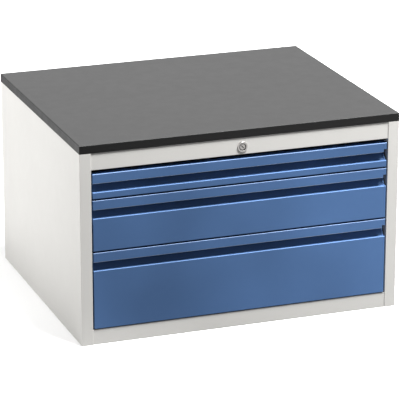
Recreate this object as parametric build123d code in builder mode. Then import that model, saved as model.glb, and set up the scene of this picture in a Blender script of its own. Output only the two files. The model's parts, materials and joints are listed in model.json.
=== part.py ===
import os
from math import cos, radians, sin

from build123d import *

os.makedirs("parts", exist_ok=True)

# Overall size. The front faces -Y, the floor is z = 0 and the origin is the middle of the footprint.
case_width = 750.0
case_depth = 620.0
case_height = 441.0
worktop_thickness = 19.0

# Casing sheet
sheet = 1.2
bend = 2.0  # outside radius of a fold
upright_width = 26.0
upright_return = 20.0
rear_flange = 20.0
edge_flange = 22.0  # top and bottom flanges of a side panel
pan_flange = 15.0  # turned-down sides of the floor panel and the top deck
panel_gap = 1.0  # play of a loose panel inside the casing
top_rail_height = 38.5
bottom_rail_height = 35.0
rail_flange = 36.0
rail_setback = 1.2

# Worktop
edging = 2.0
edging_round = 1.2
worktop_screw_inset = 60.0

# Screws
screw_diameter = 4.0
screw_clearance = 0.2
screw_head_diameter = 8.0
screw_head_height = 2.2
worktop_screw_length = 16.0
back_screw_length = 8.0
back_screw_margin = 70.0
back_screw_rows = 4

# Drawers; the lowest front takes what the other two leave of the opening
top_front_height = 56.0
middle_front_height = 116.0
front_gap = 4.0
top_gap = 9.5
bottom_gap = 2.0
side_gap = 3.2
front_sheet = 1.2
front_return = 18.0  # depth of the flanges behind a front
lip_height = 21.5
lip_hem = 8.0
grip_height = 20.0
grip_ledge = 7.0  # level strip behind a panel's upper edge
grip_depth = 20.0
grip_rise = 18.0
lip_notch = 7.0
tray_sheet = 1.0
tray_lift = 4.0  # tray floor above the front's lower edge
tray_drop = 6.0  # tray rim below the front's upper edge
tray_hem = 8.0
rear_space = 54.4  # behind the trays, for the locking bar and its hooks

# Runners: u runs from the post towards the drawer
runner_gap = 6.0  # from the back of a front to the runner
runner_end_gap = 26.0  # from the runner's end to the back of the tray
runner_height = 36.0
runner_sheet = 1.2
runner_width = 12.0
runner_bend = 1.6
runner_level = 23.0  # middle of the runner above the tray floor
opening_clearance = 0.6  # between the middle rail and the upright
rail_step = 1.0  # each rail's flanges end this much short of the next one's
outer_ball_diameter = 3.4
inner_ball_diameter = 2.9
ball_clearance = 0.2
cage_sheet = 0.6
cage_gap = 0.5
cage_overhang = 1.6  # cage flange past the middle of its balls
cage_margin = 20.0  # cage past its last ball
cage_ball_pitch = 40.0
cage_balls = 6

# Posts that carry the runners
post_sheet = 1.2
post_width = 30.0
post_foot = 12.0
post_inset = 62.0  # post middle from the runner's end
post_gap = 1.0

# Rivets and runner screws
rivet_diameter = 4.0
rivet_head_diameter = 8.0
rivet_head_height = 1.4
rivet_tail_diameter = 6.0
rivet_clearance = 0.1
rivet_inset = 40.0  # rivets from the runner's ends
front_rivet_drop = 12.0
front_rivet_spread = 520.0
runner_screw_diameter = 4.0
runner_screw_head = 6.4
runner_screw_length = 6.0

# Central locking
lock_drop = 21.5  # lock axis below the casing's top
lock_head_diameter = 23.5
lock_head_height = 1.6
lock_head_round = 0.7
lock_dish_diameter = 16.5  # hollow in the head, round the plug
lock_dish_depth = 2.0
lock_barrel_diameter = 18.0
lock_barrel_length = 24.0
lock_hole_clearance = 0.2
lock_plug_diameter = 12.0
lock_plug_clearance = 0.3
lock_plug_recess = 1.0
lock_plug_tail = 8.0
key_slot_width = 1.8
key_slot_length = 8.0
key_slot_depth = 7.0
key_slot_angle = -50.0
lock_nut_across = 24.0
lock_nut_height = 4.0
shaft_diameter = 6.0
shaft_seat = 10.0
shaft_clearance = 0.3
crank_radius = 10.0
crank_swing = 90.0
crank_hub_diameter = 15.0
crank_thickness = 7.0
crank_arm_width = 8.0
crank_pin_diameter = 4.0
pin_slack = 0.7  # round the crank pin in its slot
bearing_sheet = 3.0
bearing_width = 32.0
bearing_foot = 24.0
bearing_drop = 12.0  # plate below the shaft's axis
bearing_gap = 1.0
crank_gap = 2.0  # between the crank and the bar
bar_width = 20.0
bar_thickness = 3.0
bar_play = 0.5
bar_head_width = 34.0
bar_head_height = 16.0
bar_foot = 8.0
hook_width = 16.0
hook_sheet = 2.5
hook_gap = 2.0  # hook tip below the catch at rest
hook_tip = 14.5
catch_level = 39.0  # catch arm above the tray floor
catch_sheet = 2.0
hook_bend = 3.0
catch_width = 24.0
catch_foot = 16.0
catch_tooth = 15.0
catch_reach = 22.0
catch_play = 4.0  # between hook tip and catch tooth
guide_sheet = 2.0
guide_foot = 14.0
guide_height = 20.0

# Planes and levels that follow from the sizes above
half_width = case_width / 2
front_y = -case_depth / 2
back_y = case_depth / 2
inner_half = half_width - sheet
opening_half = half_width - upright_width
opening_top = case_height - top_rail_height
rail_front = front_y + rail_setback
panel_front = front_y + upright_return + panel_gap
back_sheet_face = back_y - 2 * sheet
floor_top = bottom_rail_height - sheet
deck_bottom = case_height - 2 * sheet
lock_z = case_height - lock_drop

front_half = opening_half - side_gap
middle_rail_start = runner_sheet + cage_sheet + 2 * cage_gap
post_face = opening_half + middle_rail_start - opening_clearance
tray_half = post_face - runner_width
tray_front = front_y + grip_depth + front_sheet
tray_back = back_sheet_face - rear_space
runner_front = tray_front + runner_gap
runner_back = tray_back - runner_end_gap
runner_middle = (runner_front + runner_back) / 2
post_rows = (runner_front + post_inset, runner_back - post_inset)
rivet_rows = (runner_front + rivet_inset, runner_back - rivet_inset)

outer_cage_start = runner_sheet + cage_gap
inner_cage_start = middle_rail_start + runner_sheet + cage_gap
drawer_rail_start = inner_cage_start + cage_sheet + cage_gap
middle_rail_end = runner_width - rail_step
cabinet_rail_end = middle_rail_end - rail_step
outer_ball_place = (middle_rail_start + cabinet_rail_end) / 2
inner_ball_place = (drawer_rail_start + middle_rail_end) / 2

middle_rail_half = runner_height / 2 - runner_sheet - outer_ball_diameter - 2 * ball_clearance
drawer_rail_half = middle_rail_half - runner_sheet - inner_ball_diameter - 2 * ball_clearance
outer_ball_level = middle_rail_half + ball_clearance + outer_ball_diameter / 2
inner_ball_level = drawer_rail_half + ball_clearance + inner_ball_diameter / 2

half_swing = radians(crank_swing / 2)
pin_x = -crank_radius * cos(half_swing)
pin_z = lock_z - crank_radius * sin(half_swing)
bar_back = back_sheet_face - bar_play
bar_front = bar_back - bar_thickness
catch_back = tray_back + catch_reach
hook_front = catch_back - catch_sheet - catch_play - hook_sheet
crank_back = bar_front - crank_gap
crank_front = crank_back - crank_thickness
bearing_back = crank_front - bearing_gap


def folded(plane, points, thickness, radius, side=Side.LEFT):
    # Section of a sheet folded along a line of points, with its thickness to one side of the line
    with BuildSketch(plane) as section:
        with BuildLine():
            FilletPolyline(*points, radius=radius)
            offset(amount=thickness, side=side)
        make_face()
    return section.sketch


def finish(part, name):
    part.label = name
    export_step(part, f"parts/{name}.step")


def drawer_levels():
    # Name, lower edge and height of each front, from the top down
    top_low = opening_top - top_gap - top_front_height
    middle_low = top_low - front_gap - middle_front_height
    bottom_low = bottom_rail_height + bottom_gap
    return [
        ("top", top_low, top_front_height),
        ("middle", middle_low, middle_front_height),
        ("bottom", bottom_low, middle_low - front_gap - bottom_low),
    ]


levels = drawer_levels()
hook_drop = catch_tooth + hook_gap + hook_tip
hook_levels = [low + tray_lift + catch_level - hook_drop for name, low, height in levels]
worktop_screw_x = half_width - edge_flange / 2
worktop_screw_spots = [
    (sign * worktop_screw_x, y)
    for sign in (-1, 1)
    for y in (front_y + worktop_screw_inset, 0, back_y - worktop_screw_inset)
]
back_screw_x = half_width - rear_flange / 2
back_screw_step = (case_height - 2 * back_screw_margin) / (back_screw_rows - 1)
back_screw_spots = [
    (sign * back_screw_x, back_screw_margin + row * back_screw_step)
    for sign in (-1, 1)
    for row in range(back_screw_rows)
]

# Side panels: wall, front upright with its return, rear flange, top and bottom flanges
with BuildPart() as left_side:
    extrude(
        folded(
            Plane.XY,
            [
                (-half_width + rear_flange, back_y),
                (-half_width, back_y),
                (-half_width, front_y),
                (-opening_half, front_y),
                (-opening_half, front_y + upright_return),
            ],
            sheet,
            bend,
        ),
        amount=case_height,
    )
    for z in (0, case_height - sheet):
        with BuildSketch(Plane.XY.offset(z)):
            with Locations((-inner_half, front_y + sheet)):
                Rectangle(
                    edge_flange - sheet,
                    back_sheet_face - front_y - sheet,
                    align=(Align.MIN, Align.MIN),
                )
        extrude(amount=sheet)
    with BuildSketch(Plane.XY.offset(case_height)):
        with Locations(*[(x, y) for x, y in worktop_screw_spots if x < 0]):
            Circle(screw_diameter / 2 + screw_clearance)
    extrude(amount=-sheet, mode=Mode.SUBTRACT)
    with BuildSketch(Plane.XZ.offset(-back_y)):
        with Locations(*[(x, z) for x, z in back_screw_spots if x < 0]):
            Circle(screw_diameter / 2 + screw_clearance)
    extrude(amount=sheet, mode=Mode.SUBTRACT)
finish(left_side.part, "left_side_panel")

with BuildPart() as right_side:
    mirror(left_side.part, about=Plane.YZ)
finish(right_side.part, "right_side_panel")

with BuildPart() as back_panel:
    with BuildSketch(Plane.XZ.offset(-back_sheet_face)):
        with Locations((0, case_height / 2)):
            Rectangle(2 * (inner_half - panel_gap), case_height)
        with Locations(*back_screw_spots):
            Circle(screw_diameter / 2 + screw_clearance, mode=Mode.SUBTRACT)
    extrude(amount=-sheet)
finish(back_panel.part, "back_panel")


def pan(top):
    # Flat sheet with both sides turned down against the side panels
    section = folded(
        Plane.XZ.offset(-back_sheet_face),
        [
            (inner_half, top - pan_flange),
            (inner_half, top),
            (-inner_half, top),
            (-inner_half, top - pan_flange),
        ],
        sheet,
        bend,
    )
    with BuildPart() as tray:
        extrude(section, amount=back_sheet_face - panel_front)
    return tray.part


with BuildPart() as floor_panel:
    add(pan(floor_top))
finish(floor_panel.part, "floor_panel")

with BuildPart() as top_deck:
    add(pan(case_height - sheet))
    with BuildSketch(Plane.XY.offset(case_height - sheet)):
        with Locations(*worktop_screw_spots):
            Circle(screw_diameter / 2 + screw_clearance)
    extrude(amount=-sheet, mode=Mode.SUBTRACT)
finish(top_deck.part, "top_deck")


def channel(bottom, top):
    # Rail with its flanges turned back, between the returns of the two uprights
    section = folded(
        Plane.YZ,
        [
            (rail_front + rail_flange, top),
            (rail_front, top),
            (rail_front, bottom),
            (rail_front + rail_flange, bottom),
        ],
        sheet,
        bend,
    )
    with BuildPart() as rail:
        extrude(section, amount=opening_half, both=True)
    return rail.part


with BuildPart() as top_rail:
    add(channel(opening_top, case_height))
    with BuildSketch(Plane.XZ.offset(-rail_front)):
        with Locations((0, lock_z)):
            Circle(lock_barrel_diameter / 2 + lock_hole_clearance)
    extrude(amount=-sheet, mode=Mode.SUBTRACT)
finish(top_rail.part, "front_top_rail")

with BuildPart() as bottom_rail:
    add(channel(0, bottom_rail_height))
finish(bottom_rail.part, "front_bottom_rail")

# Posts: hat sections against the side panels
post_top = case_height - sheet - pan_flange - post_gap


def post(sign, y):
    low = y - post_width / 2
    high = y + post_width / 2
    outer = -inner_half
    inner = -post_face - post_sheet
    section = folded(
        Plane.XY.offset(floor_top),
        [
            (outer, low - post_foot),
            (outer, low),
            (inner, low),
            (inner, high),
            (outer, high),
            (outer, high + post_foot),
        ],
        post_sheet,
        bend,
        Side.RIGHT,
    )
    with BuildPart() as hat:
        extrude(section, amount=post_top - floor_top)
        for name, drawer_low, height in levels:
            with Locations(Location((-post_face, y, drawer_low + tray_lift + runner_level), (0, 90, 0))):
                Cylinder(runner_screw_diameter / 2 + rivet_clearance, 4 * post_sheet, mode=Mode.SUBTRACT)
    return hat.part if sign < 0 else mirror(hat.part, about=Plane.YZ)


for side_name, sign in (("left", -1), ("right", 1)):
    for place, y in zip(("front", "rear"), post_rows):
        with BuildPart() as one_post:
            add(post(sign, y))
        finish(one_post.part, f"{side_name}_{place}_post")

# Worktop: board, edging strips and the screws that hold it from below
pilot_depth = worktop_screw_length - 2 * sheet + panel_gap
board_half_x = half_width - edging
board_half_y = case_depth / 2 - edging

with BuildPart() as board:
    with BuildSketch(Plane.XY.offset(case_height)):
        Rectangle(2 * board_half_x, 2 * board_half_y)
    extrude(amount=worktop_thickness)
    with BuildSketch(Plane.XY.offset(case_height)):
        with Locations(*worktop_screw_spots):
            Circle(screw_diameter / 2 + screw_clearance)
    extrude(amount=pilot_depth, mode=Mode.SUBTRACT)
finish(board.part, "worktop_board")


def edging_strip(centre, size, outward):
    # One strip with its outer arrises rounded
    with BuildPart() as strip:
        with BuildSketch(Plane.XY.offset(case_height)):
            with Locations(centre):
                Rectangle(*size)
        extrude(amount=worktop_thickness)
        outer_face = strip.faces().sort_by(outward)[-1]
        long_edges = outer_face.edges().sort_by(Axis.Z)
        fillet((long_edges[0], long_edges[-1]), radius=edging_round)
    return strip.part


strip_y = case_depth / 2 - edging / 2
strip_x = half_width - edging / 2
edging_strips = [
    edging_strip((0, -strip_y), (case_width, edging), -Axis.Y),
    edging_strip((0, strip_y), (case_width, edging), Axis.Y),
    edging_strip((-strip_x, 0), (edging, 2 * board_half_y), -Axis.X),
    edging_strip((strip_x, 0), (edging, 2 * board_half_y), Axis.X),
]
finish(Compound(edging_strips), "worktop_edging")

with BuildPart() as worktop_screws:
    with BuildSketch(Plane.XY.offset(deck_bottom)):
        with Locations(*worktop_screw_spots):
            Circle(screw_head_diameter / 2)
    extrude(amount=-screw_head_height)
    fillet(worktop_screws.edges().group_by(Axis.Z)[0], radius=screw_head_height / 2)
    with BuildSketch(Plane.XY.offset(deck_bottom)):
        with Locations(*worktop_screw_spots):
            Circle(screw_diameter / 2)
    extrude(amount=worktop_screw_length)
finish(worktop_screws.part, "worktop_screws")

with BuildPart() as back_screws:
    with BuildSketch(Plane.XZ.offset(-back_y)):
        with Locations(*back_screw_spots):
            Circle(screw_head_diameter / 2)
    extrude(amount=-screw_head_height)
    fillet(back_screws.edges().group_by(Axis.Y)[-1], radius=screw_head_height / 2)
    with BuildSketch(Plane.XZ.offset(-back_y)):
        with Locations(*back_screw_spots):
            Circle(screw_diameter / 2)
    extrude(amount=back_screw_length)
finish(back_screws.part, "back_panel_screws")


def countersunk_screw(y, z, grow=0.0):
    # Screw from the runner into the left post, or the hole for it when grown
    hole = runner_screw_diameter / 2 + grow
    head = runner_screw_head / 2 + grow
    with BuildPart() as screw:
        with Locations(Location((-post_face + runner_sheet / 2, y, z), (0, 90, 0))):
            Cone(hole, head, runner_sheet)
        with Locations(Location((-post_face - runner_screw_length / 2, y, z), (0, 90, 0))):
            Cylinder(hole, runner_screw_length)
    return screw.part


runner_screw_spots = [
    (y, low + tray_lift + runner_level) for name, low, height in levels for y in post_rows
]
with BuildPart() as runner_screws:
    for y, z in runner_screw_spots:
        add(countersunk_screw(y, z))
    mirror(about=Plane.YZ)
finish(runner_screws.part, "runner_screws")


def rail_along_runner(points, thickness):
    # Left rail of constant section; points are u from the post and height above the runner's middle
    section = folded(Plane.XZ.offset(-runner_back), points, thickness, runner_bend)
    with BuildPart() as rail:
        extrude(section, amount=runner_back - runner_front)
    return rail.part


def cage(start, ball_place, ball_level, ball_diameter, level):
    # Ball cage of the left runner: a thin channel with two rows of balls
    length = (cage_balls - 1) * cage_ball_pitch + 2 * cage_margin
    tip = ball_place + cage_overhang
    half = ball_level + cage_sheet / 2
    section = folded(
        Plane.XZ.offset(-runner_middle - length / 2),
        [
            (-post_face + tip, level + half),
            (-post_face + start, level + half),
            (-post_face + start, level - half),
            (-post_face + tip, level - half),
        ],
        cage_sheet,
        runner_bend,
    )
    with BuildPart() as one_cage:
        extrude(section, amount=length)
        ball_middle = (-post_face + ball_place, runner_middle, level)
        with Locations(Plane(origin=ball_middle, x_dir=(0, 1, 0), z_dir=(1, 0, 0))):
            with GridLocations(cage_ball_pitch, 2 * ball_level, cage_balls, 2):
                Sphere(ball_diameter / 2)
    return one_cage.part


def drawer_front(low, height):
    # Panel with its flanges, ledge and slope, and the strips of the grip: back, top and lip with its hem
    top = low + height
    panel_top = top - lip_height - grip_height
    slope_top = panel_top + grip_rise
    back_start = slope_top + front_sheet
    lip_end = front_y + 2 * bend
    panel_section = folded(
        Plane.YZ,
        [
            (front_y + front_return, low),
            (front_y, low),
            (front_y, panel_top),
            (front_y + grip_ledge, panel_top),
            (front_y + grip_depth, slope_top),
            (front_y + grip_depth, back_start),
        ],
        front_sheet,
        bend,
        Side.RIGHT,
    )
    corner = folded(
        Plane.XY.offset(low + bend),
        [
            (-front_half, front_y + front_return),
            (-front_half, front_y),
            (-front_half + 2 * bend, front_y),
        ],
        front_sheet,
        bend,
    )
    panel_height = panel_top - low - bend
    corner_height = panel_height - bend
    with BuildPart() as panel:
        extrude(panel_section, amount=front_half, both=True)
        with BuildSketch(Plane.YZ.offset(front_half)):
            with Locations((front_y, low)):
                Rectangle(front_return, panel_height, align=(Align.MIN, Align.MIN))
        extrude(amount=-bend, mode=Mode.SUBTRACT)
        with BuildSketch(Plane.YZ.offset(-front_half)):
            with Locations((front_y, low)):
                Rectangle(front_return, panel_height, align=(Align.MIN, Align.MIN))
        extrude(amount=bend, mode=Mode.SUBTRACT)
        extrude(corner, amount=corner_height)
        mirror(extrude(corner, amount=corner_height, mode=Mode.PRIVATE), about=Plane.YZ)
    with BuildPart() as grip_back:
        with BuildSketch(Plane.XZ.offset(-tray_front)):
            with Locations((0, back_start)):
                strip_height = top - front_sheet - back_start
                Rectangle(2 * front_half, strip_height, align=(Align.CENTER, Align.MIN))
            with Locations((0, top - front_rivet_drop)):
                with GridLocations(front_rivet_spread, 1, 2, 1):
                    Circle(rivet_diameter / 2 + rivet_clearance, mode=Mode.SUBTRACT)
        extrude(amount=front_sheet)
    with BuildPart() as grip_top:
        with BuildSketch(Plane.XY.offset(top)):
            with Locations((0, lip_end)):
                Rectangle(2 * front_half, tray_front - lip_end, align=(Align.CENTER, Align.MIN))
        extrude(amount=-front_sheet)
    lip_section = folded(
        Plane.YZ,
        [
            (lip_end, top - front_sheet),
            (front_y + front_sheet, top - front_sheet),
            (front_y + front_sheet, top - lip_height + front_sheet),
            (front_y + lip_hem, top - lip_height + front_sheet),
        ],
        front_sheet,
        bend - front_sheet,
        Side.RIGHT,
    )
    with BuildPart() as lip:
        extrude(lip_section, amount=front_half, both=True)
        with BuildSketch(Plane.YZ.offset(front_half)):
            with Locations((front_y, top - lip_height)):
                Rectangle(lip_hem, lip_notch, align=(Align.MIN, Align.MIN))
        extrude(amount=-lip_notch, mode=Mode.SUBTRACT)
    return Compound([panel.part, grip_back.part, grip_top.part, lip.part])


def drawer_tray(low, height):
    # Welded box: floor, front and rear walls between two side walls with hemmed rims
    bottom = low + tray_lift
    rim = low + height - tray_drop
    inner = tray_half - tray_sheet
    with BuildPart() as floor:
        with BuildSketch(Plane.XY.offset(bottom)):
            with Locations((0, (tray_front + tray_back) / 2)):
                Rectangle(2 * inner, tray_back - tray_front)
        extrude(amount=tray_sheet)
    with BuildPart() as front_wall:
        with BuildSketch(Plane.XZ.offset(-tray_front)):
            with Locations((0, bottom + tray_sheet)):
                Rectangle(2 * inner, rim - bottom - tray_sheet, align=(Align.CENTER, Align.MIN))
            with Locations((0, low + height - front_rivet_drop)):
                with GridLocations(front_rivet_spread, 1, 2, 1):
                    Circle(rivet_diameter / 2 + rivet_clearance, mode=Mode.SUBTRACT)
        extrude(amount=-tray_sheet)
    with BuildPart() as rear_wall:
        with BuildSketch(Plane.XZ.offset(-tray_back)):
            with Locations((0, bottom + tray_sheet)):
                Rectangle(2 * inner, rim - bottom - tray_sheet, align=(Align.CENTER, Align.MIN))
        extrude(amount=tray_sheet)
    with BuildPart() as left_wall:
        with BuildSketch(Plane.YZ.offset(-inner)):
            with Locations((tray_front, bottom)):
                Rectangle(tray_back - tray_front, rim - bottom, align=(Align.MIN, Align.MIN))
        extrude(amount=-tray_sheet)
        with BuildSketch(Plane.YZ.offset(-inner)):
            with Locations((tray_front + tray_sheet, rim)):
                Rectangle(tray_back - tray_front - 2 * tray_sheet, tray_hem, align=(Align.MIN, Align.MAX))
        extrude(amount=tray_sheet)
        for y in rivet_rows:
            with Locations(Location((-tray_half, y, bottom + runner_level), (0, 90, 0))):
                Cylinder(rivet_diameter / 2 + rivet_clearance, 4 * tray_sheet, mode=Mode.SUBTRACT)
    right_wall = mirror(left_wall.part, about=Plane.YZ)
    return Compound([floor.part, front_wall.part, rear_wall.part, left_wall.part, right_wall])


def rivet(plane, grip):
    # Rivet whose head sits on the plane and whose tail closes behind the grip
    with BuildPart() as one_rivet:
        with BuildSketch(plane):
            Circle(rivet_head_diameter / 2)
        extrude(amount=rivet_head_height)
        rim = one_rivet.edges().sort_by(Axis(plane.origin, plane.z_dir))[-1]
        fillet(rim, radius=rivet_head_height / 2)
        with BuildSketch(plane):
            Circle(rivet_diameter / 2)
        extrude(amount=-grip)
        with BuildSketch(plane.offset(-grip)):
            Circle(rivet_tail_diameter / 2)
        extrude(amount=-rivet_head_height)
    return one_rivet.part


def drawer_rivets(low, height):
    # Heads inside the tray: two rivets in each drawer rail and two in the front
    rivets = []
    for sign in (-1, 1):
        for y in rivet_rows:
            spot = (sign * (tray_half - tray_sheet), y, low + tray_lift + runner_level)
            wall = Plane(origin=spot, x_dir=(0, 1, 0), z_dir=(-sign, 0, 0))
            rivets.append(rivet(wall, tray_sheet + runner_sheet))
        spot = (sign * front_rivet_spread / 2, tray_front + tray_sheet, low + height - front_rivet_drop)
        wall = Plane(origin=spot, x_dir=(1, 0, 0), z_dir=(0, 1, 0))
        rivets.append(rivet(wall, tray_sheet + front_sheet))
    return Compound(rivets)


def drawer_catch(low):
    # Bent strip on the tray's rear wall; its tooth hangs down behind the hook
    arm = low + tray_lift + catch_level
    section = folded(
        Plane.YZ,
        [
            (tray_back, arm - catch_foot),
            (tray_back, arm),
            (catch_back, arm),
            (catch_back, arm - catch_tooth),
        ],
        catch_sheet,
        hook_bend,
        Side.RIGHT,
    )
    with BuildPart() as catch:
        extrude(section, amount=catch_width / 2, both=True)
    return catch.part


def runner_rails(low):
    # The three rails of the left runner
    level = low + tray_lift + runner_level
    cabinet_half = runner_height / 2
    wall = -post_face
    cabinet = [
        (wall + cabinet_rail_end, level + cabinet_half),
        (wall, level + cabinet_half),
        (wall, level - cabinet_half),
        (wall + cabinet_rail_end, level - cabinet_half),
    ]
    middle = [
        (wall + middle_rail_end, level + middle_rail_half),
        (wall + middle_rail_start, level + middle_rail_half),
        (wall + middle_rail_start, level - middle_rail_half),
        (wall + middle_rail_end, level - middle_rail_half),
    ]
    drawer = [
        (wall + drawer_rail_start, level - drawer_rail_half),
        (wall + runner_width, level - drawer_rail_half),
        (wall + runner_width, level + drawer_rail_half),
        (wall + drawer_rail_start, level + drawer_rail_half),
    ]
    with BuildPart() as cabinet_rail:
        add(rail_along_runner(cabinet, runner_sheet))
        for y in post_rows:
            add(countersunk_screw(y, level, rivet_clearance), mode=Mode.SUBTRACT)
    with BuildPart() as drawer_rail:
        add(rail_along_runner(drawer, runner_sheet))
        for y in rivet_rows:
            with Locations(Location((-tray_half, y, level), (0, 90, 0))):
                Cylinder(rivet_diameter / 2 + rivet_clearance, 4 * runner_sheet, mode=Mode.SUBTRACT)
    return {
        "cabinet_rail": cabinet_rail.part,
        "middle_rail": rail_along_runner(middle, runner_sheet),
        "drawer_rail": drawer_rail.part,
    }


for name, low, height in levels:
    finish(drawer_front(low, height), f"{name}_drawer_front")
    finish(drawer_tray(low, height), f"{name}_drawer_tray")
    finish(drawer_rivets(low, height), f"{name}_drawer_rivets")
    finish(drawer_catch(low), f"{name}_drawer_catch")
    for rail_name, rail in runner_rails(low).items():
        finish(mirror(rail, about=Plane.YZ), f"{name}_right_{rail_name}")
        finish(rail, f"{name}_left_{rail_name}")
    level = low + tray_lift + runner_level
    cages = {
        "outer": cage(outer_cage_start, outer_ball_place, outer_ball_level, outer_ball_diameter, level),
        "inner": cage(inner_cage_start, inner_ball_place, inner_ball_level, inner_ball_diameter, level),
    }
    for cage_name, left_cage in cages.items():
        pair = Compound([left_cage, mirror(left_cage, about=Plane.YZ)])
        finish(pair, f"{name}_{cage_name}_ball_cages")

# Central locking: the lock in the top rail, its shaft and crank, the bar with its hooks
lock_plane = Plane(origin=(0, rail_front, lock_z), x_dir=(1, 0, 0), z_dir=(0, -1, 0))
plug_face = lock_head_height - lock_plug_recess
plug_end = -lock_barrel_length - lock_plug_tail
shaft_front = rail_front - plug_end - shaft_seat

with BuildPart() as lock_housing:
    with BuildSketch(lock_plane):
        Circle(lock_head_diameter / 2)
    extrude(amount=lock_head_height)
    fillet(lock_housing.edges().group_by(Axis.Y)[0], radius=lock_head_round)
    with BuildSketch(lock_plane):
        Circle(lock_barrel_diameter / 2)
    extrude(amount=-lock_barrel_length)
    with BuildSketch(lock_plane.offset(lock_head_height)):
        Circle(lock_dish_diameter / 2)
    extrude(amount=-lock_dish_depth, mode=Mode.SUBTRACT)
    with BuildSketch(lock_plane.offset(lock_head_height)):
        Circle(lock_plug_diameter / 2 + lock_plug_clearance)
    extrude(amount=-lock_head_height - lock_barrel_length, mode=Mode.SUBTRACT)
finish(lock_housing.part, "lock_housing")

with BuildPart() as lock_nut:
    with BuildSketch(lock_plane.offset(-sheet)):
        RegularPolygon(lock_nut_across / 2, 6, major_radius=False)
        Circle(lock_barrel_diameter / 2 + rivet_clearance, mode=Mode.SUBTRACT)
    extrude(amount=-lock_nut_height)
finish(lock_nut.part, "lock_nut")

with BuildPart() as lock_plug:
    with BuildSketch(lock_plane.offset(plug_face)):
        Circle(lock_plug_diameter / 2)
    extrude(amount=plug_end - plug_face)
    with BuildSketch(lock_plane.offset(plug_face)):
        Rectangle(key_slot_length, key_slot_width, rotation=key_slot_angle)
    extrude(amount=-key_slot_depth, mode=Mode.SUBTRACT)
    with BuildSketch(lock_plane.offset(plug_end)):
        Circle(shaft_diameter / 2)
    extrude(amount=shaft_seat, mode=Mode.SUBTRACT)
finish(lock_plug.part, "lock_plug")

shaft_plane = Plane(origin=(0, shaft_front, lock_z), x_dir=(1, 0, 0), z_dir=(0, -1, 0))
with BuildPart() as lock_shaft:
    with BuildSketch(shaft_plane):
        Circle(shaft_diameter / 2)
    extrude(amount=shaft_front - crank_back)
finish(lock_shaft.part, "lock_shaft")

crank_plane = Plane(origin=(0, crank_front, lock_z), x_dir=(1, 0, 0), z_dir=(0, -1, 0))
with BuildPart() as lock_crank:
    with BuildSketch(crank_plane):
        Circle(crank_hub_diameter / 2)
        with Locations((pin_x / 2, (pin_z - lock_z) / 2)):
            SlotCenterToCenter(crank_radius, crank_arm_width, rotation=crank_swing / 2)
        Circle(shaft_diameter / 2, mode=Mode.SUBTRACT)
    extrude(amount=-crank_thickness)
    with BuildSketch(crank_plane.offset(-crank_thickness)):
        with Locations((pin_x, pin_z - lock_z)):
            Circle(crank_pin_diameter / 2)
    extrude(amount=crank_back - bar_back)
finish(lock_crank.part, "lock_crank")

with BuildPart() as shaft_bearing:
    extrude(
        folded(
            Plane.YZ,
            [
                (bearing_back - bearing_foot, deck_bottom),
                (bearing_back, deck_bottom),
                (bearing_back, lock_z - bearing_drop),
            ],
            bearing_sheet,
            bearing_sheet + bend,
            Side.RIGHT,
        ),
        amount=bearing_width / 2,
        both=True,
    )
    with BuildSketch(Plane.XZ.offset(-bearing_back)):
        with Locations((0, lock_z)):
            Circle(shaft_diameter / 2 + shaft_clearance)
    extrude(amount=bearing_sheet, mode=Mode.SUBTRACT)
finish(shaft_bearing.part, "shaft_bearing")

bar_bottom = hook_levels[-1] - hook_sheet - bar_foot
slot_run = crank_radius + pin_x
with BuildPart() as locking_bar:
    with BuildSketch(Plane.XZ.offset(-bar_back)):
        with Locations((0, bar_bottom)):
            Rectangle(bar_width, pin_z - bar_bottom, align=(Align.CENTER, Align.MIN))
        with Locations((0, pin_z)):
            Rectangle(bar_head_width, bar_head_height)
        with Locations((pin_x - slot_run / 2, pin_z)):
            SlotCenterToCenter(slot_run, crank_pin_diameter + 2 * pin_slack, mode=Mode.SUBTRACT)
    extrude(amount=bar_thickness)
    for hook_level in hook_levels:
        hook_bottom = hook_level - hook_sheet
        hook = folded(
            Plane.YZ,
            [
                (bar_front, hook_bottom),
                (hook_front, hook_bottom),
                (hook_front, hook_level + hook_tip),
            ],
            hook_sheet,
            hook_bend,
            Side.RIGHT,
        )
        extrude(hook, amount=hook_width / 2, both=True)
finish(locking_bar.part, "locking_bar")

guide_half = bar_width / 2 + bar_play
guide_inner = bar_front - bar_play
guide_levels = [(upper + lower) / 2 for upper, lower in zip(hook_levels, hook_levels[1:])]
with BuildPart() as bar_guides:
    for guide_level in guide_levels:
        strap = folded(
            Plane.XY.offset(guide_level),
            [
                (-guide_half - guide_foot, back_sheet_face),
                (-guide_half, back_sheet_face),
                (-guide_half, guide_inner),
                (guide_half, guide_inner),
                (guide_half, back_sheet_face),
                (guide_half + guide_foot, back_sheet_face),
            ],
            guide_sheet,
            (guide_sheet, bar_play, bar_play, guide_sheet),
            Side.RIGHT,
        )
        extrude(strap, amount=guide_height / 2, both=True)
finish(bar_guides.part, "bar_guides")
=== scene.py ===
import json
from math import radians
import bpy
import bmesh
from mathutils import Matrix, Vector


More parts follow.
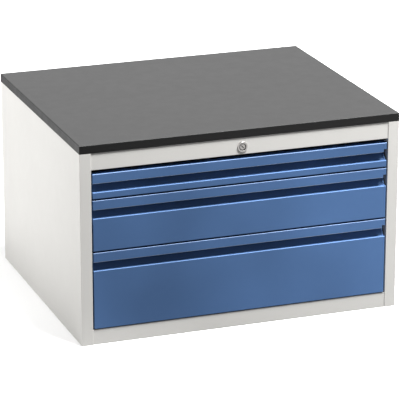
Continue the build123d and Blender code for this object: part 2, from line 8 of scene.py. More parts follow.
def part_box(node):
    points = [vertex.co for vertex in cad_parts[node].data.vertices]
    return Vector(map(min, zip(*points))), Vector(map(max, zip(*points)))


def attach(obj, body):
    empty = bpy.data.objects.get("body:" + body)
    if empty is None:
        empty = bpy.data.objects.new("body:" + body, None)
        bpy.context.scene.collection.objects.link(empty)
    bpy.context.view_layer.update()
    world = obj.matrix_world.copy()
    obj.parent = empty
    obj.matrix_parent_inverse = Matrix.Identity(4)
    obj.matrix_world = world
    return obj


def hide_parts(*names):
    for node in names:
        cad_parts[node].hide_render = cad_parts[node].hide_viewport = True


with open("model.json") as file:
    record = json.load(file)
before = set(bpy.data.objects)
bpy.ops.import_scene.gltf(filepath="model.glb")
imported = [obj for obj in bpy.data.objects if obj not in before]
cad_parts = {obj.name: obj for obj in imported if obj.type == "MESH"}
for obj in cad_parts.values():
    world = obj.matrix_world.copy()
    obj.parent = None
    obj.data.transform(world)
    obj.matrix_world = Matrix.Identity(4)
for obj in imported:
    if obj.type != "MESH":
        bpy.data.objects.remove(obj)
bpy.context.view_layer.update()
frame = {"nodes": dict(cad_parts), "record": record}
nodes = frame["nodes"]
scene = bpy.context.scene
scene.view_settings.view_transform = "Standard"
print("cabinet loaded:", len(nodes), "parts")


# Node helpers

noiseSpan = (0.3, 0.7)  # most of a noise texture's values lie in it


def link(tree, source, target):
    tree.links.new(source, target)


def addNode(tree, kind, **inputs):
    node = tree.nodes.new(kind)
    for name, value in inputs.items():
        node.inputs[name.replace("_", " ")].default_value = value
    return node


def addMath(tree, operation, *inputs):
    # each input is a number or another node's socket
    node = tree.nodes.new("ShaderNodeMath")
    node.operation = operation
    for socket, value in zip(node.inputs, inputs):
        if isinstance(value, bpy.types.NodeSocket):
            link(tree, value, socket)
        else:
            socket.default_value = value
    return node.outputs["Value"]


def ramp(tree, value, span, low, high):
    # brings a value's span into the range low to high, which are numbers or sockets
    node = addNode(tree, "ShaderNodeMapRange", From_Min=span[0], From_Max=span[1])
    link(tree, value, node.inputs["Value"])
    for label, end in (("To Min", low), ("To Max", high)):
        if isinstance(end, bpy.types.NodeSocket):
            link(tree, end, node.inputs[label])
        else:
            node.inputs[label].default_value = end
    return node.outputs["Result"]


def noise(tree, place, scale, detail):
    node = addNode(tree, "ShaderNodeTexNoise", Detail=detail)
    link(tree, place, node.inputs["Vector"])
    if isinstance(scale, bpy.types.NodeSocket):
        link(tree, scale, node.inputs["Scale"])
    else:
        node.inputs["Scale"].default_value = scale
    return node.outputs["Fac"]


def unevenness(tree, value, amount):
    # a factor round one, that a noise value moves by an amount either way
    return addMath(tree, "MULTIPLY_ADD", ramp(tree, value, noiseSpan, -1.0, 1.0), amount, 1.0)


def scaledColor(tree, color, factor):
    node = tree.nodes.new("ShaderNodeVectorMath")
    node.operation = "SCALE"
    link(tree, color, node.inputs[0])
    link(tree, factor, node.inputs["Scale"])
    return node.outputs["Vector"]


def newGroup(name, inputs):
    # a finish: where it is read from, its own values, and the three outputs that a material takes
    group = bpy.data.node_groups.new(name, "ShaderNodeTree")
    group.interface.new_socket(name="Place", in_out="INPUT", socket_type="NodeSocketVector")
    for label, value in inputs.items():
        kind = "NodeSocketFloat" if isinstance(value, float) else "NodeSocketColor"
        group.interface.new_socket(name=label, in_out="INPUT", socket_type=kind).default_value = value
    for label, kind in (("Color", "NodeSocketColor"), ("Roughness", "NodeSocketFloat"),
                        ("Height", "NodeSocketFloat")):
        group.interface.new_socket(name=label, in_out="OUTPUT", socket_type=kind)
    return group, group.nodes.new("NodeGroupInput").outputs, group.nodes.new("NodeGroupOutput").inputs


# Powder coat: orange peel in the height, soft clouds in the colour, uneven sheen, paler along sharp folds as a
# painted highlight
coatNoise = {"peelDetail": 1.5, "cloudDetail": 2.0, "sheenScale": 40.0, "sheenDetail": 4.0}

coat, coatIn, coatOut = newGroup("powderCoat", {
    "Paint": (0.8, 0.8, 0.8, 1), "Fold Highlight Paint": (0.9, 0.9, 0.9, 1), "Fold": 0.0, "Peel Scale": 700.0,
    "Cloud Scale": 7.0, "Clouds": 0.03, "Sheen Low": 0.34, "Sheen High": 0.44})
peel = noise(coat, coatIn["Place"], coatIn["Peel Scale"], coatNoise["peelDetail"])
clouds = noise(coat, coatIn["Place"], coatIn["Cloud Scale"], coatNoise["cloudDetail"])
sheen = noise(coat, coatIn["Place"], coatNoise["sheenScale"], coatNoise["sheenDetail"])
foldMix = coat.nodes.new("ShaderNodeMix")
foldMix.data_type = "RGBA"
link(coat, coatIn["Fold"], foldMix.inputs["Factor"])
link(coat, coatIn["Paint"], foldMix.inputs[6])  # the colours of an RGBA mix
link(coat, coatIn["Fold Highlight Paint"], foldMix.inputs[7])
cloudFactor = unevenness(coat, clouds, coatIn["Clouds"])
link(coat, scaledColor(coat, foldMix.outputs[2], cloudFactor), coatOut["Color"])
link(coat, ramp(coat, sheen, noiseSpan, coatIn["Sheen Low"], coatIn["Sheen High"]), coatOut["Roughness"])
link(coat, peel, coatOut["Height"])

# Drawn metal: fine streaks along one direction, given by the mapping
streakDetail = 4.0

drawn, drawnIn, drawnOut = newGroup("drawnMetal", {
    "Metal": (0.6, 0.6, 0.6, 1), "Shade": 1.0, "Streaks": 0.12, "Sheen Low": 0.28, "Sheen High": 0.46})
streak = noise(drawn, drawnIn["Place"], 1.0, streakDetail)
metalShade = addMath(drawn, "MULTIPLY", unevenness(drawn, streak, drawnIn["Streaks"]), drawnIn["Shade"])
link(drawn, scaledColor(drawn, drawnIn["Metal"], metalShade), drawnOut["Color"])
link(drawn, ramp(drawn, streak, noiseSpan, drawnIn["Sheen Low"], drawnIn["Sheen High"]), drawnOut["Roughness"])
link(drawn, streak, drawnOut["Height"])


# Materials: one Principled shader each, fed by a finish

def newMaterial(name, group, bump, bumpDepth, shader, values, stretch=(1, 1, 1), start=(0, 0, 0)):
    material = bpy.data.materials.new(name)
    material.use_nodes = True
    tree = material.node_tree
    tree.nodes.clear()
    output = tree.nodes.new("ShaderNodeOutputMaterial")
    principled = tree.nodes.new("ShaderNodeBsdfPrincipled")
    for label, value in shader.items():
        principled.inputs[label].default_value = value
    link(tree, principled.outputs["BSDF"], output.inputs["Surface"])
    coords = tree.nodes.new("ShaderNodeTexCoord")
    mapping = addNode(tree, "ShaderNodeMapping", Scale=stretch, Location=start)
    link(tree, coords.outputs["Object"], mapping.inputs["Vector"])
    finish = tree.nodes.new("ShaderNodeGroup")
    finish.node_tree = group
    finish.name = "finish"
    link(tree, mapping.outputs["Vector"], finish.inputs["Place"])
    for label, value in values.items():
        finish.inputs[label].default_value = value
    link(tree, finish.outputs["Color"], principled.inputs["Base Color"])
    link(tree, finish.outputs["Roughness"], principled.inputs["Roughness"])
    bumpNode = addNode(tree, "ShaderNodeBump", Strength=bump, Distance=bumpDepth)
    link(tree, finish.outputs["Height"], bumpNode.inputs["Height"])
    link(tree, bumpNode.outputs["Normal"], principled.inputs["Normal"])
    return material


def turnRings(material, axis, rings):
    # streaks run in rings round an axis along Y, so many to the metre
    tree = material.node_tree
    coords = tree.nodes.new("ShaderNodeTexCoord")
    flat = addNode(tree, "ShaderNodeMapping", Scale=(1, 0, 1), Location=(-axis[0], 0, -axis[1]))
    link(tree, coords.outputs["Object"], flat.inputs["Vector"])
    radius = tree.nodes.new("ShaderNodeVectorMath")
    radius.operation = "LENGTH"
    link(tree, flat.outputs["Vector"], radius.inputs[0])
    along = tree.nodes.new("ShaderNodeCombineXYZ")
    link(tree, addMath(tree, "MULTIPLY", radius.outputs["Value"], rings), along.inputs["X"])
    link(tree, along.outputs["Vector"], tree.nodes["finish"].inputs["Place"])


def paintShadeBehind(material, face, depths, shade):
    # painted shade: hollows behind a face fall to a part of their shine with depth along Y
    tree = material.node_tree
    coords = tree.nodes.new("ShaderNodeTexCoord")
    parts = tree.nodes.new("ShaderNodeSeparateXYZ")
    link(tree, coords.outputs["Object"], parts.inputs["Vector"])
    span = (face + depths[0], face + depths[1])
    link(tree, ramp(tree, parts.outputs["Y"], span, 1.0, shade), tree.nodes["finish"].inputs["Shade"])


nickel = (0.74, 0.715, 0.69, 1)
finishes = {
    "case_paint": newMaterial(
        "casePaint", coat, bump=0.10, bumpDepth=0.0002, shader={"Metallic": 0.0, "Specular IOR Level": 0.35},
        values={"Paint": (0.64, 0.63, 0.605, 1), "Peel Scale": 650.0, "Clouds": 0.012,
                "Sheen Low": 0.48, "Sheen High": 0.58}),
    # drawer paint: strong soft clouds, shifted so that their darker and paler patches fall where shade and
    # light fall across the fronts, painted shade and light over random tone
    "drawer_paint": newMaterial(
        "drawerPaint", coat, bump=0.08, bumpDepth=0.0002, shader={"Metallic": 0.4, "Specular IOR Level": 0.3},
        values={"Paint": (0.086, 0.175, 0.368, 1), "Fold Highlight Paint": (0.50, 0.56, 0.64, 1), "Peel Scale": 650.0,
                "Cloud Scale": 2.6, "Clouds": 0.19, "Sheen Low": 0.50, "Sheen High": 0.58},
        start=(2.4, 5.5, 6.1)),
    "tray_paint": newMaterial(
        "trayPaint", coat, bump=0.10, bumpDepth=0.0002, shader={"Metallic": 0.0, "Specular IOR Level": 0.45},
        values={"Paint": (0.21, 0.21, 0.205, 1), "Peel Scale": 800.0, "Clouds": 0.02,
                "Sheen Low": 0.38, "Sheen High": 0.5}),
    "worktop_board": newMaterial(
        "blackLaminate", coat, bump=0.10, bumpDepth=0.0001, shader={"Metallic": 0.0, "Specular IOR Level": 0.5},
        values={"Paint": (0.008, 0.008, 0.008, 1), "Peel Scale": 1400.0, "Clouds": 0.06,
                "Sheen Low": 0.33, "Sheen High": 0.36}),
    "worktop_edging": newMaterial(
        "blackEdging", coat, bump=0.06, bumpDepth=0.0001, shader={"Metallic": 0.0, "Specular IOR Level": 0.45},
        values={"Paint": (0.004, 0.004, 0.004, 1), "Peel Scale": 1800.0, "Clouds": 0.10,
                "Sheen Low": 0.42, "Sheen High": 0.50}),
    "runner_steel": newMaterial(
        "runnerZinc", drawn, bump=0.04, bumpDepth=0.0001, shader={"Metallic": 1.0},
        values={"Metal": (0.62, 0.63, 0.65, 1), "Streaks": 0.10, "Sheen Low": 0.26, "Sheen High": 0.42},
        stretch=(900, 12, 900)),
    "ball_steel": newMaterial(
        "bearingSteel", drawn, bump=0.02, bumpDepth=0.0001, shader={"Metallic": 1.0},
        values={"Metal": (0.66, 0.66, 0.67, 1), "Streaks": 0.06, "Sheen Low": 0.16, "Sheen High": 0.26},
        stretch=(1500, 40, 1500)),
    "fastener_steel": newMaterial(
        "screwZinc", drawn, bump=0.05, bumpDepth=0.0001, shader={"Metallic": 1.0},
        values={"Metal": (0.60, 0.61, 0.62, 1), "Streaks": 0.12, "Sheen Low": 0.28, "Sheen High": 0.44},
        stretch=(1200, 1200, 1200)),
    "lock_chrome": newMaterial(
        "lockNickel", drawn, bump=0.03, bumpDepth=0.0001, shader={"Metallic": 1.0},
        values={"Metal": nickel, "Streaks": 0.10, "Sheen Low": 0.16, "Sheen High": 0.26}),
    "lock_steel": newMaterial(
        "lockZinc", drawn, bump=0.04, bumpDepth=0.0001, shader={"Metallic": 1.0},
        values={"Metal": (0.58, 0.58, 0.57, 1), "Streaks": 0.12, "Sheen Low": 0.30, "Sheen High": 0.46},
        stretch=(600, 600, 40))}
plugNickel = newMaterial(
    "plugNickel", drawn, bump=0.03, bumpDepth=0.0001, shader={"Metallic": 1.0},
    values={"Metal": nickel, "Streaks": 0.10, "Sheen Low": 0.26, "Sheen High": 0.38})

# painted highlight: drawer paint turns paler where a fold is marked
drawerTree = finishes["drawer_paint"].node_tree
foldMark = drawerTree.nodes.new("ShaderNodeAttribute")
foldMark.attribute_name = "foldHighlight"
link(drawerTree, foldMark.outputs["Fac"], drawerTree.nodes["finish"].inputs["Fold"])

# lock: turned rings, and painted shade in the dish and the key slot
lockFinish = {"rings": 9000.0, "slotDepths": (0.0001, 0.0005), "slotShade": 0.03,
              "dishDepths": (0.0004, 0.0019), "dishShade": 0.3}
plugLow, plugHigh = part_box("lock_plug")
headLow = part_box("lock_housing")[0]
lockAxis = ((plugLow.x + plugHigh.x) / 2, (plugLow.z + plugHigh.z) / 2)
turnRings(finishes["lock_chrome"], lockAxis, lockFinish["rings"])
turnRings(plugNickel, lockAxis, lockFinish["rings"])
paintShadeBehind(plugNickel, plugLow.y, lockFinish["slotDepths"], lockFinish["slotShade"])
paintShadeBehind(finishes["lock_chrome"], headLow.y, lockFinish["dishDepths"], lockFinish["dishShade"])

for entry in frame["record"]["subparts"]:
    slots = nodes[entry["node"]].data.materials
    slots.clear()
    slots.append(finishes[entry["material_slot"]])
nodes["lock_plug"].data.materials[0] = plugNickel
print("finishes set on", len(nodes), "parts")


# Modelling helpers

slack = 1e-5  # two places nearer than this are the same
sharpFrom = radians(38)  # edges from this angle up stay sharp in the shading


def near(value, target):
    return abs(value - target) < slack


def centreOf(face):
    return face.calc_center_median()


def vertsOf(geom):
    return [v for v in geom if isinstance(v, bmesh.types.BMVert)]


def addPiece(name, bm, body, slot, replaced):
    for face in bm.faces:
        face.smooth = True
    for edge in bm.edges:
        edge.smooth = edge.calc_face_angle(0) < sharpFrom
    mesh = bpy.data.meshes.new(name)
    bm.to_mesh(mesh)
    bm.free()
    mesh.materials.append(finishes[slot])
    piece = bpy.data.objects.new(name, mesh)
    scene.collection.objects.link(piece)
    evenNormals = piece.modifiers.new("evenNormals", "WEIGHTED_NORMAL")
    evenNormals.keep_sharp = True
    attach(piece, body)
    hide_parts(*replaced)


def strip(bm, points, run):
    # sheet drawn along a row of points and pulled out by a vector
    row = [bm.verts.new(point) for point in points]
    edges = [bm.edges.new(pair) for pair in zip(row, row[1:])]
    pulled = bmesh.ops.extrude_edge_only(bm, edges=edges)["geom"]
    bmesh.ops.translate(bm, verts=vertsOf(pulled), vec=run)


def roundEdges(bm, offset, segments, test):
    # rounds the edges whose two ends pass the test, and returns the new faces
    edges = [e for e in bm.edges if all(test(v.co) for v in e.verts)]
    return bmesh.ops.bevel(bm, geom=edges, offset=offset, offset_type="OFFSET", segments=segments, profile=0.5,
                           affect="EDGES", material=-1)["faces"]


def mainFace(bm, outward):
    # the face that shows the most area along a direction
    bm.normal_update()
    return max(bm.faces, key=lambda f: f.calc_area() * abs(f.normal.dot(outward)))


def thicken(bm, sheet, guide, outward):
    # turns the sheet so that its guide face looks outward, and gives it its thickness behind that
    bm.normal_update()
    if guide.normal.dot(outward) < 0:
        bmesh.ops.reverse_faces(bm, faces=bm.faces[:])
    bmesh.ops.solidify(bm, geom=bm.faces[:], thickness=sheet)


def cutAcross(bm, faces, place, normal):
    # divides some of the faces along a plane
    parts = set(faces) | {e for f in faces for e in f.edges} | {v for f in faces for v in f.verts}
    bmesh.ops.bisect_plane(bm, geom=list(parts), plane_co=place, plane_no=normal)


def addBlock(bm, low, high):
    corners = bmesh.ops.create_cube(bm, size=1.0)["verts"]
    bmesh.ops.scale(bm, verts=corners, vec=high - low)
    bmesh.ops.translate(bm, verts=corners, vec=(low + high) / 2)


# Case front and sides: sheets with crisp folds
caseShape = {"sheet": 0.0012, "fold": 0.0006, "foldSegments": 3, "uprightReturn": 0.020, "rearFlange": 0.020,
             "edgeFlange": 0.022, "lockHole": 0.0092, "lockPatch": 0.012, "lockRimCuts": 11,
             "lockRimReach": 1.5}
forward = Vector((0, -1, 0))


def sidePanel(side, sign):
    s = caseShape
    low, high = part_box(side + "_side_panel")
    outer, inner = (low.x, high.x) if sign < 0 else (high.x, low.x)
    bm = bmesh.new()
    strip(bm, [(outer - sign * s["rearFlange"], high.y, low.z), (outer, high.y, low.z), (outer, low.y, low.z),
               (inner, low.y, low.z), (inner, low.y + s["uprightReturn"], low.z)], (0, 0, high.z - low.z))
    outward = Vector((sign, 0, 0))
    thicken(bm, s["sheet"], mainFace(bm, outward), outward)
    for x, y in ((outer, high.y), (outer, low.y), (inner, low.y)):
        roundEdges(bm, s["fold"], s["foldSegments"], lambda p: near(p.x, x) and near(p.y, y))
    # flanges along the foot and under the worktop
    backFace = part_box("back_panel")[0].y
    left, right = sorted((outer - sign * s["sheet"], outer - sign * s["edgeFlange"]))
    for z in (low.z, high.z - s["sheet"]):
        addBlock(bm, Vector((left, low.y + s["sheet"], z)), Vector((right, backFace, z + s["sheet"])))
    addPiece(side + "Side", bm, "case", "case_paint", [side + "_side_panel"])


def holeForLock(bm, front):
    # a square round the lock's axis is taken out and its edge drawn in to a circle
    s = caseShape
    x, z = lockAxis
    reach = s["lockPatch"]
    middle = Vector((x, front, z))

    def inFront():
        return [f for f in bm.faces if near(centreOf(f).y, front)]

    for offset in (-reach, reach):
        cutAcross(bm, inFront(), (x + offset, 0, 0), (1, 0, 0))
        cutAcross(bm, inFront(), (0, 0, z + offset), (0, 0, 1))
    patch = min(inFront(), key=lambda f: (centreOf(f) - middle).length)
    sides = patch.edges[:]
    bmesh.ops.delete(bm, geom=[patch], context="FACES_ONLY")
    bmesh.ops.subdivide_edges(bm, edges=sides, cuts=s["lockRimCuts"])
    rimReach = s["lockRimReach"] * reach
    rim = [e for e in bm.edges if e.is_boundary and all((v.co - middle).length < rimReach for v in e.verts)]
    for vert in vertsOf(bmesh.ops.extrude_edge_only(bm, edges=rim)["geom"]):
        vert.co = middle + (vert.co - middle).normalized() * s["lockHole"]
    bmesh.ops.recalc_face_normals(bm, faces=bm.faces)


def frontRail(level):
    s = caseShape
    low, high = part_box("front_" + level + "_rail")
    bm = bmesh.new()
    strip(bm, [(low.x, high.y, high.z), (low.x, low.y, high.z), (low.x, low.y, low.z), (low.x, high.y, low.z)],
          (high.x - low.x, 0, 0))
    if level == "top":
        holeForLock(bm, low.y)
    thicken(bm, s["sheet"], mainFace(bm, forward), forward)
    for z in (low.z, high.z):
        roundEdges(bm, s["fold"], s["foldSegments"], lambda p: near(p.y, low.y) and near(p.z, z))
    addPiece(level + "Rail", bm, "case", "case_paint", ["front_" + level + "_rail"])


sidePanel("left", -1)
sidePanel("right", 1)
frontRail("top")
frontRail("bottom")
print("case folded")


# Drawer fronts: each one sheet, folded into a panel with flanges, a ledge, a slope and a lip
frontShape = {"sheet": 0.0012, "bend": 0.0008, "bendSegments": 4, "wideBend": 0.002, "wideSegments": 3,
              "flange": 0.018, "lip": 0.0215, "hem": 0.008, "gripHeight": 0.020, "ledge": 0.007,
              "gripDepth": 0.020, "gripRise": 0.018, "notch": 0.007,
              "ridgeHighlight": 0.06, "lipHighlight": 0.25, "underHighlight": 1.0}


def cutNotch(bm, isLip, half, lipFloor):
    # square notch out of the lower right corner of the lip
    start = half - frontShape["notch"]
    top = lipFloor + frontShape["notch"]

    def lipEnd():
        return [f for f in bm.faces if isLip(f) and centreOf(f).x > start]

    cutAcross(bm, [f for f in bm.faces if isLip(f)], (start, 0, 0), (1, 0, 0))
    cutAcross(bm, lipEnd(), (0, 0, top), (0, 0, 1))
    bmesh.ops.delete(bm, geom=[f for f in lipEnd() if centreOf(f).z < top], context="FACES")


def drawerFront(drawer):
    s = frontShape
    low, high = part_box(drawer + "_drawer_front")
    half, face, floor, top = high.x, low.y, low.z, high.z
    lipFloor = top - s["lip"]
    panelTop = lipFloor - s["gripHeight"]
    ledgeEnd = face + s["ledge"]
    slopeTop = panelTop + s["gripRise"]
    back = face + s["gripDepth"]
    inner = face + s["sheet"]
    under = top - s["sheet"]
    hemLevel = lipFloor + s["sheet"]
    bm = bmesh.new()
    tone = bm.faces.layers.float.new("foldHighlight")
    profile = [(face + s["flange"], floor), (face, floor), (face, panelTop), (ledgeEnd, panelTop),
               (back, slopeTop), (back, under), (inner, under), (inner, hemLevel), (face + s["hem"], hemLevel)]
    strip(bm, [(-half, y, z) for y, z in profile], (2 * half, 0, 0))
    # flanges pulled back from the two ends of the panel
    ends = [e for e in bm.edges if all(near(v.co.y, face) for v in e.verts)
            and near(e.verts[0].co.x, e.verts[1].co.x)]
    pulled = bmesh.ops.extrude_edge_only(bm, edges=ends)["geom"]
    bmesh.ops.translate(bm, verts=vertsOf(pulled), vec=(0, s["flange"], 0))

    def isLip(f):
        place = centreOf(f)
        return place.y < face + s["hem"] and slopeTop < place.z < under - slack

    cutNotch(bm, isLip, half, lipFloor)
    panel = next(f for f in bm.faces if near(centreOf(f).y, face))
    thicken(bm, s["sheet"], panel, forward)
    for y, z in ((ledgeEnd, panelTop), (back, slopeTop)):
        roundEdges(bm, s["wideBend"], s["wideSegments"], lambda p: near(p.y, y) and near(p.z, z))
    panelFolds = roundEdges(bm, s["bend"], s["bendSegments"],
                            lambda p: near(p.y, face) and p.z < panelTop + slack)
    # painted highlight: the ridge fold, the lip's top fold and the fold under the lip are marked for paler
    # paint
    for fold in panelFolds:
        if centreOf(fold).z > panelTop - 2 * s["bend"]:
            fold[tone] = s["ridgeHighlight"]
    for level, shade in ((top, s["lipHighlight"]), (lipFloor, s["underHighlight"])):
        lipFolds = roundEdges(bm, s["bend"], s["bendSegments"], lambda p: near(p.y, face) and near(p.z, level))
        for fold in lipFolds:
            fold[tone] = shade
    addPiece(drawer + "Front", bm, drawer + "_drawer", "drawer_paint", [drawer + "_drawer_front"])


for drawer in ("top", "middle", "bottom"):
    drawerFront(drawer)
print("drawer fronts folded")


# Worktop: laminated board with a thin edging band
worktopShape = {"edging": 0.002, "round": 0.0012, "underRound": 0.0002, "roundSegments": 4, "arris": 0.0002}


def worktopBoard():
    low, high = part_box("worktop_board")
    bm = bmesh.new()
    addBlock(bm, low, high)
    roundEdges(bm, worktopShape["arris"], 1, lambda p: True)
    addPiece("worktopBoard", bm, "case", "worktop_board", ["worktop_board"])


def worktopEdging():
    s = worktopShape
    low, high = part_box("worktop_edging")
    size = high - low
    bm = bmesh.new()
    bmesh.ops.create_grid(bm, x_segments=1, y_segments=1, size=0.5)
    bmesh.ops.scale(bm, verts=bm.verts, vec=(size.x, size.y, 1))
    bmesh.ops.translate(bm, verts=bm.verts, vec=((low.x + high.x) / 2, (low.y + high.y) / 2, low.z))
    middle = bm.faces[:]
    bmesh.ops.inset_region(bm, faces=middle, thickness=s["edging"], use_boundary=True, use_even_offset=True)
    bmesh.ops.delete(bm, geom=middle, context="FACES")
    raised = bmesh.ops.extrude_face_region(bm, geom=bm.faces[:])["geom"]
    bmesh.ops.translate(bm, verts=vertsOf(raised), vec=(0, 0, size.z))
    bmesh.ops.recalc_face_normals(bm, faces=bm.faces)

    def outside(p):
        return abs(p.x) > high.x - slack or abs(p.y) > high.y - slack

    for level, radius in ((low.z, s["underRound"]), (high.z, s["round"])):
        roundEdges(bm, radius, s["roundSegments"], lambda p: near(p.z, level) and outside(p))
    addPiece("worktopEdging", bm, "case", "worktop_edging", ["worktop_edging"])


worktopBoard()
worktopEdging()
print("worktop laid")


# Lock: turned head with a dish, on its threaded barrel
lockShape = {"headHeight": 0.0016, "barrelRadius": 0.009, "dishRadius": 0.00825, "dish": 0.0020,
             "boreRadius": 0.0063, "round": 0.0007, "roundSegments": 4, "dishRound": 0.0004, "dishSegments": 3,
             "steps": 64, "weld": 1e-6}


def lockHead():
    s = lockShape
    low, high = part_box("lock_housing")
    middle = (low + high) / 2
    headRadius = (high.x - low.x) / 2
    seat = low.y + s["headHeight"]
    dishFloor = low.y + s["dish"]
    profile = [(s["boreRadius"], high.y), (s["barrelRadius"], high.y), (s["barrelRadius"], seat),
               (headRadius, seat), (headRadius, low.y), (s["dishRadius"], low.y), (s["dishRadius"], dishFloor),
               (s["boreRadius"], dishFloor)]
    bm = bmesh.new()
    row = [bm.verts.new((middle.x + r, y, middle.z)) for r, y in profile]
    edges = [bm.edges.new(pair) for pair in zip(row, row[1:] + row[:1])]
    bmesh.ops.spin(bm, geom=row + edges, cent=middle, axis=(0, 1, 0), angle=radians(360), steps=s["steps"],
                   use_merge=True)
    bmesh.ops.remove_doubles(bm, verts=bm.verts, dist=s["weld"])
    bmesh.ops.recalc_face_normals(bm, faces=bm.faces)

    def onRim(p, radius):
        return near(p.y, low.y) and near(Vector((p.x - middle.x, p.z - middle.z)).length, radius)

    roundEdges(bm, s["round"], s["roundSegments"], lambda p: onRim(p, headRadius))
    roundEdges(bm, s["dishRound"], s["dishSegments"], lambda p: onRim(p, s["dishRadius"]))
    addPiece("lockHead", bm, "case", "lock_chrome", ["lock_housing"])


lockHead()
print("lock turned")


# Back panel screws: domed heads with a cross recess
screwShape = {"headRadius": 0.004, "headHeight": 0.0022, "shankRadius": 0.002, "dome": (0.0036, 0.0008),
              "rimDrop": 0.0016, "recess": 0.0013, "recessHalf": 0.0021, "recessCells": 5, "recessTaper": 0.6,
              "faceFlare": 1.15, "crossReach": 1.5, "rows": 4}


def crossScrew(bm, length):
    # one screw along Z with its top at zero: face with a sunk cross, then dome, rim, underside and shank
    s = screwShape
    bmesh.ops.create_grid(bm, x_segments=s["recessCells"], y_segments=s["recessCells"], size=s["recessHalf"])
    for vert in [v for v in bm.verts if v.is_boundary]:
        vert.co *= s["recessHalf"] * s["faceFlare"] / vert.co.length
    cell = 2 * s["recessHalf"] / s["recessCells"]
    cross = [f for f in bm.faces if min(abs(centreOf(f).x), abs(centreOf(f).y)) < cell / 2
             and centreOf(f).length < s["crossReach"] * cell]
    sunk = vertsOf(bmesh.ops.extrude_face_region(bm, geom=cross)["geom"])
    bmesh.ops.translate(bm, verts=sunk, vec=(0, 0, -s["recess"]))
    bmesh.ops.scale(bm, verts=sunk, vec=(s["recessTaper"], s["recessTaper"], 1))
    bmesh.ops.delete(bm, geom=cross, context="FACES_ONLY")
    for radius, drop in (s["dome"], (s["headRadius"], s["rimDrop"]), (s["headRadius"], s["headHeight"]),
                         (s["shankRadius"], s["headHeight"]), (s["shankRadius"], length)):
        rim = [e for e in bm.edges if e.is_boundary]
        for vert in vertsOf(bmesh.ops.extrude_edge_only(bm, edges=rim)["geom"]):
            flat = Vector((vert.co.x, vert.co.y, 0)).normalized() * radius
            vert.co = (flat.x, flat.y, -drop)
    tip = [e for e in bm.edges if e.is_boundary]
    bmesh.ops.holes_fill(bm, edges=tip, sides=len(tip))


def backScrews():
    s = screwShape
    low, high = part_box("back_panel_screws")
    bm = bmesh.new()
    crossScrew(bm, high.y - low.y)
    bmesh.ops.rotate(bm, verts=bm.verts, cent=(0, 0, 0), matrix=Matrix.Rotation(radians(-90), 3, "X"))
    bmesh.ops.translate(bm, verts=bm.verts, vec=(0, high.y, 0))
    first = bm.verts[:] + bm.edges[:] + bm.faces[:]
    step = (high.z - low.z - 2 * s["headRadius"]) / (s["rows"] - 1)
    for side in (-1, 1):
        for row in range(s["rows"]):
            copy = bmesh.ops.duplicate(bm, geom=first)["geom"]
            place = (side * (high.x - s["headRadius"]), 0, low.z + s["headRadius"] + row * step)
            bmesh.ops.translate(bm, verts=vertsOf(copy), vec=place)
    bmesh.ops.delete(bm, geom=vertsOf(first), context="VERTS")
    bmesh.ops.delete(bm, geom=[v for v in bm.verts if not v.link_faces], context="VERTS")
    bmesh.ops.recalc_face_normals(bm, faces=bm.faces)
    addPiece("backScrews", bm, "case", "fastener_steel", ["back_panel_screws"])


backScrews()
print("screws set")


# Floor: white to the camera, and for the light it throws back darker in front, paler at the left and right
floorLook = {"half": 30.0, "drop": 0.0004, "seen": (0.99, 0.99, 0.99, 1),
             "bounceFront": 0.05, "bounceLeft": 0.42, "bounceRight": 0.20,
             "backSpan": (-0.6, 0.2), "leftSpan": (-0.3, 0.1), "rightSpan": (-0.4, 0.6)}


def floorMaterial():
    s = floorLook
    material = bpy.data.materials.new("floorPaint")
    material.use_nodes = True
    tree = material.node_tree
    tree.nodes.clear()
    coords = tree.nodes.new("ShaderNodeTexCoord")
    parts = tree.nodes.new("ShaderNodeSeparateXYZ")
    link(tree, coords.outputs["Object"], parts.inputs["Vector"])
    across, away = parts.outputs["X"], parts.outputs["Y"]
    leftShade = ramp(tree, across, s["leftSpan"], s["bounceLeft"], s["bounceFront"])
    backShade = ramp(tree, away, s["backSpan"], s["bounceFront"], leftShade)
    rightShade = ramp(tree, across, s["rightSpan"], s["bounceFront"], s["bounceRight"])
    bounce = tree.nodes.new("ShaderNodeBsdfDiffuse")
    link(tree, addMath(tree, "MAXIMUM", backShade, rightShade), bounce.inputs["Color"])
    seen = addNode(tree, "ShaderNodeBsdfDiffuse", Color=s["seen"])
    ray = tree.nodes.new("ShaderNodeLightPath")
    mix = tree.nodes.new("ShaderNodeMixShader")
    link(tree, ray.outputs["Is Camera Ray"], mix.inputs["Fac"])
    link(tree, bounce.outputs["BSDF"], mix.inputs[1])
    link(tree, seen.outputs["BSDF"], mix.inputs[2])
    output = tree.nodes.new("ShaderNodeOutputMaterial")
    link(tree, mix.outputs["Shader"], output.inputs["Surface"])
    return material


def layFloor():
    bm = bmesh.new()
    bmesh.ops.create_grid(bm, x_segments=1, y_segments=1, size=floorLook["half"])
    bmesh.ops.translate(bm, verts=bm.verts, vec=(0, 0, -floorLook["drop"]))
    mesh = bpy.data.meshes.new("studioFloor")
    bm.to_mesh(mesh)
    bm.free()
    mesh.materials.append(floorMaterial())
    studioFloor = bpy.data.objects.new("studioFloor", mesh)
    scene.collection.objects.link(studioFloor)


layFloor()

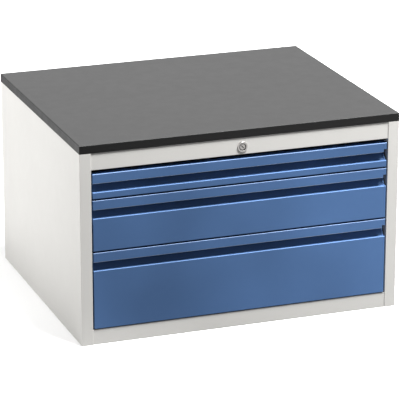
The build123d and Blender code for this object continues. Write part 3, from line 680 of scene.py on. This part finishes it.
# Light: dim sky in front and bright behind, a long lamp overhead and a soft box at each side
skyLook = {"front": 0.14, "back": 1.0, "span": (-0.35, 0.65), "color": (1.0, 1.0, 1.0, 1)}
lamps = {
    "key": {"place": (1.3, -1.55, 6.5), "aim": (0.05, -0.25, 0.2), "size": (2.2, 0.5), "power": 1040.0},
    "rightBox": {"place": (1.2, -0.86, 2.5), "aim": (0.2, -0.3, 0.2), "size": (0.5, 0.3), "power": 80.0},
    "leftBox": {"place": (-1.9, 0.1, 1.2), "aim": (-0.37, 0.05, 0.3), "size": (1.2, 1.0), "power": 27.0}}

scene.world = bpy.data.worlds.new("studioWorld")
scene.world.use_nodes = True
sky = scene.world.node_tree
skyCoords = sky.nodes.new("ShaderNodeTexCoord")
skyParts = sky.nodes.new("ShaderNodeSeparateXYZ")
link(sky, skyCoords.outputs["Generated"], skyParts.inputs["Vector"])
skyShade = ramp(sky, skyParts.outputs["Y"], skyLook["span"], skyLook["front"], skyLook["back"])
skyShade.node.interpolation_type = "SMOOTHSTEP"
sky.nodes["Background"].inputs["Color"].default_value = skyLook["color"]
link(sky, skyShade, sky.nodes["Background"].inputs["Strength"])

for name, look in lamps.items():
    lamp = bpy.data.lights.new(name, "AREA")
    lamp.shape = "RECTANGLE"
    lamp.size, lamp.size_y = look["size"]
    lamp.energy = look["power"]
    holder = bpy.data.objects.new(name, lamp)
    holder.location = look["place"]
    holder.rotation_euler = (Vector(look["aim"]) - Vector(look["place"])).to_track_quat("-Z", "Y").to_euler()
    holder.visible_camera = False
    scene.collection.objects.link(holder)

# Camera: focal length in pixels of a square picture, brought to the sensor's width
view = {"place": (-1.9257, -5.3486, 2.0858), "azimuth": 19.922, "elevation": 18.35,
        "focalPixels": 2573.0, "picture": 400.0, "sensor": 36.0, "clipEnd": 100.0}

cameraData = bpy.data.cameras.new("camera")
cameraData.sensor_width = view["sensor"]
cameraData.lens = view["focalPixels"] / view["picture"] * view["sensor"]
cameraData.clip_end = view["clipEnd"]
camera = bpy.data.objects.new("camera", cameraData)
camera.location = view["place"]
camera.rotation_euler = (radians(90 - view["elevation"]), 0, radians(-view["azimuth"]))
scene.collection.objects.link(camera)
scene.camera = camera
print("studio ready")
